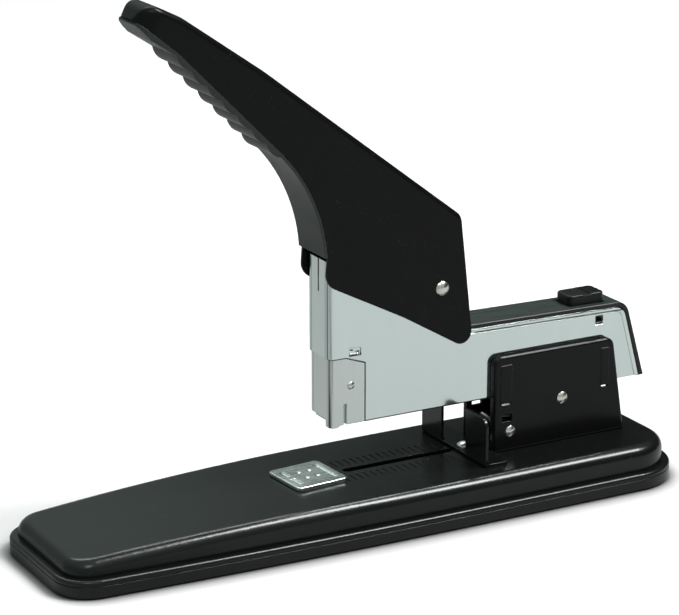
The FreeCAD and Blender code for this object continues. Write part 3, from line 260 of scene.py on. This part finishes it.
finishes = {
    "deckEnamel": {  # base cover: black gloss stove enamel
        "colour": (0.0030, 0.0034, 0.0033), "second": (0.0042, 0.0048, 0.0046),
        "rough": 0.2, "specular": 0.3, "smear": 0.05, "wearAndHighlight": 0.12,
        "wearAndHighlightColour": (0.08, 0.08, 0.08), "dust": 0.3, "bump": 0.05, "bumpDepth": 0.00006,
        "waveScale": 260.0, "grainScale": 3200.0, "grain": 0.35, "streakScale": 30.0,
        "edgeWidth": 0.0003,
    },
    "shellEnamel": {  # handle: satin black
        "colour": (0.0026, 0.0028, 0.0027), "second": (0.0036, 0.0038, 0.0037),
        "rough": 0.24, "specular": 0.11, "smear": 0.06, "wearAndHighlight": 0.15,
        "wearAndHighlightColour": (0.12, 0.12, 0.12), "dust": 0.25, "bump": 0.14, "bumpDepth": 0.00008,
        "waveScale": 300.0, "grainScale": 3600.0, "grain": 0.4, "streakScale": 25.0,
    },
    "guideEnamel": {  # paper guide: brighter edges than the bracket, from more shine and a stronger painted edge highlight with edge wear
        "colour": (0.0026, 0.0029, 0.0028), "second": (0.0042, 0.0046, 0.0044),
        "rough": 0.16, "specular": 0.26, "smear": 0.05, "wearAndHighlight": 0.25,
        "wearAndHighlightColour": (0.2, 0.2, 0.195), "dust": 0.25, "bump": 0.1, "bumpDepth": 0.00008,
        "waveScale": 300.0, "grainScale": 3400.0, "grain": 0.3, "edgeWidth": 0.0005,
    },
    "bracketEnamel": {  # rear bracket
        "colour": (0.0028, 0.0030, 0.0029), "second": (0.0045, 0.0047, 0.0046),
        "rough": 0.2, "specular": 0.15, "smear": 0.05, "wearAndHighlight": 0.15,
        "wearAndHighlightColour": (0.16, 0.16, 0.155), "dust": 0.25, "bump": 0.14, "bumpDepth": 0.00008,
        "waveScale": 340.0, "grainScale": 3600.0, "grain": 0.4, "streakScale": 40.0,
    },
    "trayPlastic": {
        "colour": (0.0032, 0.0035, 0.0034), "second": (0.0046, 0.005, 0.0048),
        "rough": 0.2, "specular": 0.3, "smear": 0.06, "dust": 0.2, "bump": 0.08,
        "bumpDepth": 0.00006, "waveScale": 500.0, "grainScale": 5200.0, "grain": 0.8,
        "streakScale": 60.0,
    },
    "stripPlastic": {  # cover strip: drawn satin plastic
        "colour": (0.016, 0.021, 0.0195), "second": (0.024, 0.031, 0.029),
        "rough": 0.28, "specular": 0.35, "smear": 0.05, "streakRough": 0.05,
        "stretch": (0.04, 1.0, 1.0), "streakScale": 900.0, "streakHeight": 0.5, "bump": 0.15,
        "bumpDepth": 0.00008, "dust": 0.25, "waveScale": 420.0,
        "paintedShadeStripes": (  # painted shade: the sides are deeper black than the top
            {"limits": (("Y", 0.0086, 0.0110),), "colour": (0.004, 0.005, 0.0047)},
        ),
    },
    "buttonPlastic": {
        "colour": (0.0035, 0.0042, 0.004), "second": (0.006, 0.007, 0.0067),
        "rough": 0.3, "specular": 0.2, "smear": 0.06, "bump": 0.15, "bumpDepth": 0.00006,
        "dust": 0.2, "wearAndHighlight": 0.15, "wearAndHighlightColour": (0.09, 0.09, 0.09),
    },
    "gripPlastic": {
        "colour": (0.014, 0.0175, 0.0168), "second": (0.019, 0.023, 0.0223),
        "rough": 0.36, "specular": 0.2, "smear": 0.08, "bump": 0.25, "bumpDepth": 0.0001,
        "waveScale": 700.0, "grainScale": 3000.0, "grain": 1.0, "dust": 0.15,
        "wearAndHighlight": 0.25, "wearAndHighlightColour": (0.11, 0.12, 0.12), "streakScale": 50.0,
    },
    "matRubber": {
        "colour": (0.03, 0.03, 0.03), "second": (0.05, 0.05, 0.05), "rough": 0.82,
        "specular": 0.25, "bump": 0.6, "bumpDepth": 0.0003, "waveScale": 900.0,
        "grainScale": 2600.0, "grain": 1.0, "dust": 0.6,
    },
    "brightNickel": {  # body frame, drawn sheet plated bright
        "colour": (0.63, 0.70, 0.69), "second": (0.70, 0.765, 0.755), "metal": 1.0,
        "rough": 0.09, "smear": 0.07, "cloudScale": 22.0, "streakRough": 0.015,
        "stretch": (1.0, 1.0, 0.06), "streakScale": 160.0, "streakHeight": 0.1, "bump": 0.04,
        "bumpDepth": 0.0002, "waveScale": 30.0, "grainScale": 2500.0, "grain": 0.004,
        "edgeWidth": 0.0004,
        "paintedShadeStripes": (  # painted shade and painted reflections: dark lines along the lower edge, the pressed line and the window edge, and two dull reflection bands by the front corner
            {"limits": (("Z", 0.0414, 0.0426), ("Y", 0.0080, 0.0100), ("X", 0.001, 0.078)),
             "colour": (0.02, 0.022, 0.021), "soft": 0.00015},
            {"limits": (("T", 0.07303, 0.07361), ("Y", 0.0080, 0.0100), ("X", 0.054, 0.1285)),
             "slope": 0.01572, "colour": (0.05, 0.055, 0.053), "soft": 0.00005},
            {"limits": (("Y", 0.00885, 0.00922), ("X", -0.0068, -0.0010), ("Z", 0.0716, 0.0754)),
             "colour": (0.08, 0.085, 0.083), "soft": 0.00004},
            {"limits": (("Y", 0.0088, 0.0096), ("X", -0.0068, -0.0010), ("Z", 0.0713, 0.0723)),
             "colour": (0.06, 0.065, 0.063), "soft": 0.00005},
            {"limits": (("Y", 0.0056, 0.0061), ("X", -0.0170, -0.0150)),
             "colour": (0.30, 0.32, 0.315), "soft": 0.00025},
            {"limits": (("Y", 0.0071, 0.0078), ("X", -0.0170, -0.0150)),
             "colour": (0.12, 0.13, 0.128), "soft": 0.0002},
        ),
    },
    "noseNickel": {
        "colour": (0.56, 0.60, 0.585), "second": (0.66, 0.70, 0.685), "metal": 1.0,
        "rough": 0.14, "smear": 0.05, "streakRough": 0.05, "stretch": (1.0, 1.0, 0.04),
        "streakScale": 700.0, "streakHeight": 0.5, "bump": 0.06, "bumpDepth": 0.00012,
        "waveScale": 60.0, "grain": 0.01, "edgeWidth": 0.0003,
        # painted reflections: two dull bands by the front corner
        "paintedShadeStripes": (
            {"limits": (("Y", 0.0058, 0.0062), ("X", -0.0160, -0.0144)),
             "colour": (0.26, 0.28, 0.275), "soft": 0.00025},
            {"limits": (("Y", 0.0072, 0.0078), ("X", -0.0160, -0.0144)),
             "colour": (0.10, 0.11, 0.108), "soft": 0.0002},
        ),
    },
    "anvilNickel": {
        "colour": (0.52, 0.56, 0.55), "second": (0.66, 0.70, 0.69), "metal": 1.0,
        "rough": 0.27, "smear": 0.06, "streakRough": 0.05, "stretch": (0.06, 1.0, 1.0),
        "streakScale": 1200.0, "streakHeight": 0.6, "bump": 0.2, "bumpDepth": 0.0001,
        "waveScale": 300.0, "edgeWidth": 0.0004, "wearAndHighlight": 0.1, "wearAndHighlightColour": (0.9, 0.9, 0.9),
    },
    "rivetSteel": {
        "colour": (0.62, 0.60, 0.56), "second": (0.74, 0.72, 0.68), "metal": 1.0,
        "rough": 0.25, "smear": 0.08, "streakRough": 0.06, "streakScale": 900.0,
        "streakHeight": 0.4, "bump": 0.2, "bumpDepth": 0.00008, "waveScale": 600.0,
        "edgeWidth": 0.0002,
    },
    "zincSteel": {
        "colour": (0.50, 0.52, 0.53), "second": (0.62, 0.64, 0.64), "metal": 1.0,
        "rough": 0.3, "smear": 0.1, "streakRough": 0.05, "stretch": (0.05, 1.0, 1.0),
        "streakScale": 900.0, "streakHeight": 0.5, "bump": 0.15, "bumpDepth": 0.0001,
        "waveScale": 200.0, "edgeWidth": 0.0003,
    },
    "bladeSteel": {
        "colour": (0.34, 0.35, 0.36), "second": (0.46, 0.47, 0.48), "metal": 1.0,
        "rough": 0.28, "streakRough": 0.08, "stretch": (1.0, 1.0, 0.03), "streakScale": 1600.0,
        "streakHeight": 1.0, "bump": 0.2, "bumpDepth": 0.00008, "edgeWidth": 0.0002,
    },
    "springSteel": {
        "colour": (0.36, 0.36, 0.37), "second": (0.5, 0.5, 0.5), "metal": 1.0, "rough": 0.3,
        "smear": 0.12, "bump": 0.1, "bumpDepth": 0.00005, "edgeWidth": 0.0001,
    },
    "stapleWire": {
        "colour": (0.66, 0.67, 0.67), "second": (0.8, 0.8, 0.8), "metal": 1.0, "rough": 0.26,
        "smear": 0.1, "streakRough": 0.05, "stretch": (1.0, 0.1, 0.1), "streakScale": 1800.0,
        "bump": 0.1, "bumpDepth": 0.00004, "edgeWidth": 0.0001,
    },
    "pusherPlastic": {
        "colour": (0.50, 0.50, 0.46), "second": (0.58, 0.58, 0.54), "rough": 0.45,
        "specular": 0.5, "bump": 0.15, "bumpDepth": 0.00008,
    },
}

finishOf = {
    "deckEnamel": ["base_cover"],
    "shellEnamel": ["handle_shell"],
    "bracketEnamel": ["rear_bracket"],
    "guideEnamel": ["guide_plate"],
    "trayPlastic": ["base_tray"],
    "stripPlastic": ["top_cover"],
    "buttonPlastic": ["release_button"],
    "gripPlastic": ["handle_insert"],
    "matRubber": ["base_mat"],
    "brightNickel": ["body_frame"],
    "noseNickel": ["magazine_nose"],
    "anvilNickel": ["anvil_plate"],
    "rivetSteel": ["guide_rivet", "pivot_pin", "stop_rivet", "handle_rivet", "nose_rivets",
                   "lever_pin", "blade_rivets", "anvil_pin"],
    "zincSteel": ["magazine_channel", "staple_rail", "spring_seat", "press_lever", "driver_block",
                  "latch_plate", "pivot_washers", "guide_slider", "anvil_clip", "base_screws",
                  "bracket_screws", "bracket_nuts", "pusher_rod", "latch_stem"],
    "bladeSteel": ["driver_blade"],
    "springSteel": ["anvil_spring", "tilt_spring", "driver_spring", "pusher_spring",
                    "button_spring"],
    "stapleWire": ["staple_strip"],
    "pusherPlastic": ["pusher_block"],
}

materials = {name: makeFinish(name, look) for name, look in finishes.items()}
for name, members in finishOf.items():
    for member in members:
        slots = nodes[member].data.materials
        slots.clear()
        slots.append(materials[name])
print("finishes:", len(materials))


# meshes from surfaces worked out on a grid

# Quads of a grid of rows by columns; a closed direction joins its last line to its first.
def gridFaces(rows, columns, closedRows, closedColumns):
    r = np.arange(rows if closedRows else rows - 1)
    c = np.arange(columns if closedColumns else columns - 1)
    row, column = np.meshgrid(r, c, indexing="ij")
    below, beside = (row + 1) % rows, (column + 1) % columns
    corners = (row * columns + column, row * columns + beside,
               below * columns + beside, below * columns + column)
    return np.stack([corner.ravel() for corner in corners], axis=1)


# A mesh object from an array of points, quads, and loops that close its ends.
def buildMesh(name, points, faces, caps=()):
    mesh = bpy.data.meshes.new(name)
    mesh.from_pydata(points.tolist(), [], faces.tolist() + [list(map(int, cap)) for cap in caps])
    mesh.polygons.foreach_set("use_smooth", np.ones(len(mesh.polygons), bool))
    for cap in range(len(mesh.polygons) - len(caps), len(mesh.polygons)):
        mesh.polygons[cap].use_smooth = False
    mesh.validate()
    mesh.update()
    piece = bpy.data.objects.new(name, mesh)
    bpy.context.scene.collection.objects.link(piece)
    return piece


winding = {"stepsPerTurn": 28, "sides": 12, "endPitch": 0.12}  # endPitch: share of a full pitch
# squash: the joint, the held end (0 low, 1 high) and how far the other end comes
springs = {
    "tiltCoil": {"node": "tilt_spring", "body": "base", "axis": 2, "turns": 7.5, "wire": 0.0009,
                 "squash": ("body_tilt", 0, 0.0043)},
    "driverCoil": {"node": "driver_spring", "body": "body", "axis": 2, "turns": 9.5,
                   "wire": 0.0011, "squash": ("driver_slide", 0, 0.0283)},
    "pusherCoil": {"node": "pusher_spring", "body": "magazine", "axis": 0, "turns": 22.5,
                   "wire": 0.0008, "squash": ("pusher_slide", 1, 0.0402)},
    "buttonCoil": {"node": "button_spring", "body": "body", "axis": 2, "turns": 3.0,
                   "wire": 0.0005, "squash": ("button_push", 0, 0.0016)},
    "anvilCoil": {"node": "anvil_spring", "body": "anvil", "axis": 2, "turns": 3.5,
                  "wire": 0.0007},
}


# A round wire carried along a helix whose end turns lie flat.
# Centre line: (R cos t, R sin t, h(t)), where h rises slowly over the first and last turn.
# Surface: centre + r (cos v * outward + sin v * binormal).
def coilSpring(name, look):
    low, high = (np.array(corner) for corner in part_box(look["node"]))
    axis = look["axis"]
    across = [i for i in range(3) if i != axis]
    radius = look["wire"] / 2
    coilRadius = (high[across[0]] - low[across[0]]) / 2 - radius
    length = high[axis] - low[axis] - 2 * radius
    steps = int(look["turns"] * winding["stepsPerTurn"])
    sides = winding["sides"]
    s = np.linspace(0, 1, steps)
    endShare = 1.0 / look["turns"]
    pitch = np.clip(np.minimum(s, 1 - s) / endShare, winding["endPitch"], 1.0)
    rise = np.concatenate([[0], np.cumsum((pitch[1:] + pitch[:-1]) / 2)])
    rise = rise / rise[-1] * length
    t = 2 * math.pi * look["turns"] * s
    centre = np.stack([coilRadius * np.cos(t), coilRadius * np.sin(t), rise + radius], axis=1)
    tangent = np.gradient(centre, axis=0)
    tangent /= np.linalg.norm(tangent, axis=1, keepdims=True)
    outward = np.stack([np.cos(t), np.sin(t), np.zeros_like(t)], axis=1)
    binormal = np.cross(tangent, outward)
    binormal /= np.linalg.norm(binormal, axis=1, keepdims=True)
    v = np.linspace(0, 2 * math.pi, sides, endpoint=False)
    ring = (outward[:, None, :] * np.cos(v)[None, :, None]
            + binormal[:, None, :] * np.sin(v)[None, :, None]) * radius
    points = (centre[:, None, :] + ring).reshape(-1, 3)
    if axis == 0:
        points = points[:, [2, 0, 1]]
    offset = (low + high) / 2
    offset[axis] = low[axis]
    points = points + offset
    faces = gridFaces(steps, sides, False, True)
    first, last = np.arange(sides), np.arange(sides) + (steps - 1) * sides
    piece = buildMesh(name, points, faces, (first[::-1], last))
    piece.data.materials.append(materials["springSteel"])
    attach(piece, look["body"])
    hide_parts(look["node"])
    if "squash" in look:
        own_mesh(piece)


for name, look in springs.items():
    coilSpring(name, look)
print("springs wound:", len(springs))


# samples: stations along each wire; arc: points round each bend; narrow: wall between two wires
staples = {"wire": 0.0006, "bend": 0.0009, "samples": 8, "arc": 6, "narrow": 0.12}


# Many staples side by side: one inverted U carried along X.
# Middle line: U of half width w and height h with bends of radius b.
# The wall swells and narrows once per wire, as round wires lying side by side do.
def stapleStrip(name, look):
    low, high = (np.array(corner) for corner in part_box("staple_strip"))
    wire = look["wire"]
    count = int(round((high[0] - low[0]) / wire))
    s = np.arange(count * look["samples"] + 1) / look["samples"]
    phase = 2 * (s % 1) - 1
    swell = look["narrow"] + (1 - look["narrow"]) * np.sqrt(np.clip(1 - phase ** 2, 0, 1))
    half = swell * wire / 2
    x = np.clip(low[0] + s * (high[0] - low[0]) / count, low[0], high[0])
    wide = (high[1] - low[1]) / 2 - wire / 2
    top = high[2] - wire / 2
    bend = look["bend"]
    turn = np.linspace(0, math.pi / 2, look["arc"])
    y = np.concatenate([[-wide], -wide + bend - bend * np.cos(turn),
                        wide - bend + bend * np.sin(turn), [wide]])
    z = np.concatenate([[low[2]], top - bend + bend * np.sin(turn),
                        top - bend + bend * np.cos(turn), [low[2]]])
    ny = np.concatenate([[-1], -np.cos(turn), np.sin(turn), [1]])
    nz = np.concatenate([[0], np.sin(turn), np.cos(turn), [0]])
    outerY = y[None, :] + half[:, None] * ny
    outerZ = z[None, :] + half[:, None] * nz
    innerY = y[None, :] - half[:, None] * ny
    innerZ = z[None, :] - half[:, None] * nz
    loopY = np.concatenate([outerY, innerY[:, ::-1]], axis=1)
    loopZ = np.concatenate([outerZ, innerZ[:, ::-1]], axis=1)
    columns = loopY.shape[1]
    points = np.stack([np.repeat(x[:, None], columns, axis=1), loopY, loopZ], axis=2)
    faces = gridFaces(len(x), columns, False, True)
    strip = np.arange(columns // 2 - 1)
    lastRow = (len(x) - 1) * columns
    ends = [(i + 1, columns - 2 - i, columns - 1 - i, i) for i in strip]
    farEnds = [(lastRow + i, lastRow + columns - 1 - i, lastRow + columns - 2 - i,
                lastRow + i + 1) for i in strip]
    piece = buildMesh(name, points.reshape(-1, 3), faces[:, ::-1], ends + farEnds)
    piece.data.materials.append(materials["stapleWire"])
    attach(piece, "magazine")
    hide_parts("staple_strip")


stapleStrip("stapleRow", staples)
print("staples laid")


lips = {"radius": 0.0007, "length": 0.0046, "centre": (0.0672, 0.0127, 0.0395), "sag": 0.0002,
        "stations": 25, "sides": 16}


# The rolled lip of a pressed slit: a thin bar that sags at its ends.
# (x, r cos v, h(x) + r sin v), r falling to nothing at both ends as the fourth root of 1 - s^2.
def slitLip(name, side, look):
    stations, sides = look["stations"], look["sides"]
    s = np.linspace(-1, 1, stations)[:, None]
    v = np.linspace(0, 2 * math.pi, sides, endpoint=False)[None, :]
    r = look["radius"] * np.clip(1 - s ** 2, 1e-4, 1) ** 0.25
    x = look["centre"][0] + s * look["length"] / 2 + np.zeros_like(v)
    y = side * look["centre"][1] + r * np.cos(v) * side
    z = look["centre"][2] - look["sag"] * s ** 2 + r * np.sin(v)
    points = np.stack([x, y, z], axis=2).reshape(-1, 3)
    faces = gridFaces(stations, sides, False, True)
    first, last = np.arange(sides), np.arange(sides) + (stations - 1) * sides
    caps = (first[::-1], last)
    if side < 0:  # the mirrored lip turns its faces over
        faces, caps = faces[:, ::-1], (first, last[::-1])
    piece = buildMesh(name, points, faces, caps)
    piece.data.materials.append(materials["stapleWire"])
    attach(piece, "base")


slitLip("slitLipNear", -1, lips)
slitLip("slitLipFar", 1, lips)
print("slit lips rolled")


# floor, light and camera

studio = {
    "floorSize": 12.0, "floorLines": 5, "floorHeight": -0.0002, "floorRough": 0.9,
    "floorShown": (0.66, 0.632, 0.638, 1.0),  # to the eye
    "paintedShadowColour": (0.09, 0.085, 0.088, 1.0),  # painted shadow, to the eye, right beside the base
    "paintedShadowReach": 0.016, "paintedShadowRange": (0.5, 0.98),
    "floorNear": (0.3432, 0.3432, 0.3432, 1.0),  # in reflections, in front
    "floorFar": (0.2772, 0.2772, 0.2772, 1.0),  # in reflections, behind
    "depthRange": (-0.1, 0.25),  # Y from front to behind
    "bandRange": (-0.25, 0.1), "bandSide": (-0.12, -0.05),  # Y of the bands; X where they end
    "bands": ((0.25, 0.07), (0.38, 0.42), (0.5, 0.06), (0.62, 0.36), (0.8, 0.2)),
    "bandEnds": 0.29,
    "skyWhite": 1.0, "skyLow": 0.02, "skyHigh": 0.45, "skyRange": (0.42, 0.85),  # by height
    "skySide": 0.4, "sideRange": (0.33, 0.52),  # added at low X
    "skyTint": (0.86, 1.03, 0.975, 1.0),
    "key": {"place": (-0.9, -1.6, 2.2), "aim": (0.0, 0.0, 0.08), "size": (0.9, 0.7),
            "watts": 14},
    "top": {"place": (1.0, -0.55, 1.9), "aim": (0.0, 0.0, 0.05), "size": (0.6, 0.95),
            "watts": 70},
    "rim": {"place": (0.3, 1.2, 1.6), "aim": (0.0, 0.0, 0.08), "size": (1.2, 0.4),
            "watts": 10},
}


def areaLight(name, look):
    light = bpy.data.lights.new(name, "AREA")
    light.shape = "RECTANGLE"
    light.size, light.size_y = look["size"]
    light.energy = look["watts"]
    lamp = bpy.data.objects.new(name, light)
    lamp.location = look["place"]
    aim = Vector(look["aim"]) - Vector(look["place"])
    lamp.rotation_euler = aim.to_track_quat("-Z", "Y").to_euler()
    bpy.context.scene.collection.objects.link(lamp)


# A flat sheet just under the base: z is constant over a square grid.
# Reflections see it dimmer, with soft bands on one side; a painted shadow makes a dark rim where
# the base stands.
def buildFloor(look):
    lines = look["floorLines"]
    steps = np.linspace(-look["floorSize"] / 2, look["floorSize"] / 2, lines)
    u, v = np.meshgrid(steps, steps)
    points = np.stack([u.ravel(), v.ravel(), np.full(u.size, look["floorHeight"])], axis=1)
    floor = buildMesh("floor", points, gridFaces(lines, lines, False, False))
    material = bpy.data.materials.new("paleFloor")
    material.use_nodes = True
    tree = material.node_tree
    shader = tree.nodes["Principled BSDF"]
    shader.inputs["Roughness"].default_value = look["floorRough"]
    shader.inputs["Specular IOR Level"].default_value = 0.1
    path = addNode(tree, "ShaderNodeLightPath")
    coords = addNode(tree, "ShaderNodeTexCoord")
    split = addNode(tree, "ShaderNodeSeparateXYZ", {}, i0=coords.outputs["Object"])
    depth = remap(tree, split.outputs["Y"], *look["depthRange"], 0.0, 1.0)
    seen = blendColour(tree, depth, look["floorNear"], look["floorFar"])
    ramp = addNode(tree, "ShaderNodeValToRGB")
    across = remap(tree, split.outputs["Y"], *look["bandRange"], 0.0, 1.0)
    tree.links.new(across, ramp.inputs[0])
    for place, shade in look["bands"]:
        stop = ramp.color_ramp.elements.new(place)
        stop.color = (shade, shade, shade, 1.0)
    for end in (0, -1):
        ramp.color_ramp.elements[end].color = (look["bandEnds"],) * 3 + (1.0,)
    left = remap(tree, split.outputs["X"], *look["bandSide"], 1.0, 0.0)
    seen = blendColour(tree, left, seen, ramp.outputs[0])
    # painted contact shadow: to the eye the floor darkens where occlusion finds the base close by
    contact = addNode(tree, "ShaderNodeAmbientOcclusion", {"samples": 16},
                      Distance=look["paintedShadowReach"])
    openness = remap(tree, contact.outputs["AO"], *look["paintedShadowRange"], 0.0, 1.0)
    shown = blendColour(tree, openness, look["paintedShadowColour"], look["floorShown"])
    colour = blendColour(tree, path.outputs["Is Glossy Ray"], shown, seen)
    tree.links.new(colour, shader.inputs["Base Color"])
    floor.data.materials.append(material)


# Pale to the eye; in reflections dim near the horizon and bright overhead.
def buildSky(look):
    world = bpy.data.worlds.new("studio")
    bpy.context.scene.world = world
    world.use_nodes = True
    tree = world.node_tree
    tree.nodes.clear()
    coords = addNode(tree, "ShaderNodeTexCoord")
    split = addNode(tree, "ShaderNodeSeparateXYZ", {}, i0=coords.outputs["Generated"])
    level = remap(tree, split.outputs["Z"], *look["skyRange"], look["skyLow"], look["skyHigh"])
    side = remap(tree, split.outputs["X"], *look["sideRange"], look["skySide"], 0.0)
    level = math2(tree, "ADD", level, side)
    path = addNode(tree, "ShaderNodeLightPath")
    seen = addNode(tree, "ShaderNodeMix", {"data_type": "FLOAT"})
    tree.links.new(path.outputs["Is Camera Ray"], seen.inputs[0])
    tree.links.new(level, seen.inputs[2])
    seen.inputs[3].default_value = look["skyWhite"]
    tint = blendColour(tree, path.outputs["Is Camera Ray"], look["skyTint"], (1.0, 1.0, 1.0, 1.0))
    background = addNode(tree, "ShaderNodeBackground", {}, Color=tint)
    tree.links.new(seen.outputs[0], background.inputs["Strength"])
    output = addNode(tree, "ShaderNodeOutputWorld")
    tree.links.new(background.outputs[0], output.inputs[0])


buildFloor(studio)
buildSky(studio)
for name in ("key", "top", "rim"):
    areaLight(name, studio[name])
bpy.context.scene.view_settings.view_transform = "Standard"
print("studio lit")

shot = {"place": (-0.5300, -0.9485, 0.4276), "aim": (-0.006117, 0.0, 0.089906),
        "lens": 146.85, "sensor": 36.0}
cameraData = bpy.data.cameras.new("shot")
cameraData.lens = shot["lens"]
cameraData.sensor_width = shot["sensor"]
camera = bpy.data.objects.new("shot", cameraData)
camera.location = shot["place"]
towards = Vector(shot["aim"]) - Vector(shot["place"])
camera.rotation_euler = towards.to_track_quat("-Z", "Y").to_euler()
bpy.context.scene.collection.objects.link(camera)
bpy.context.scene.camera = camera
print("camera set")
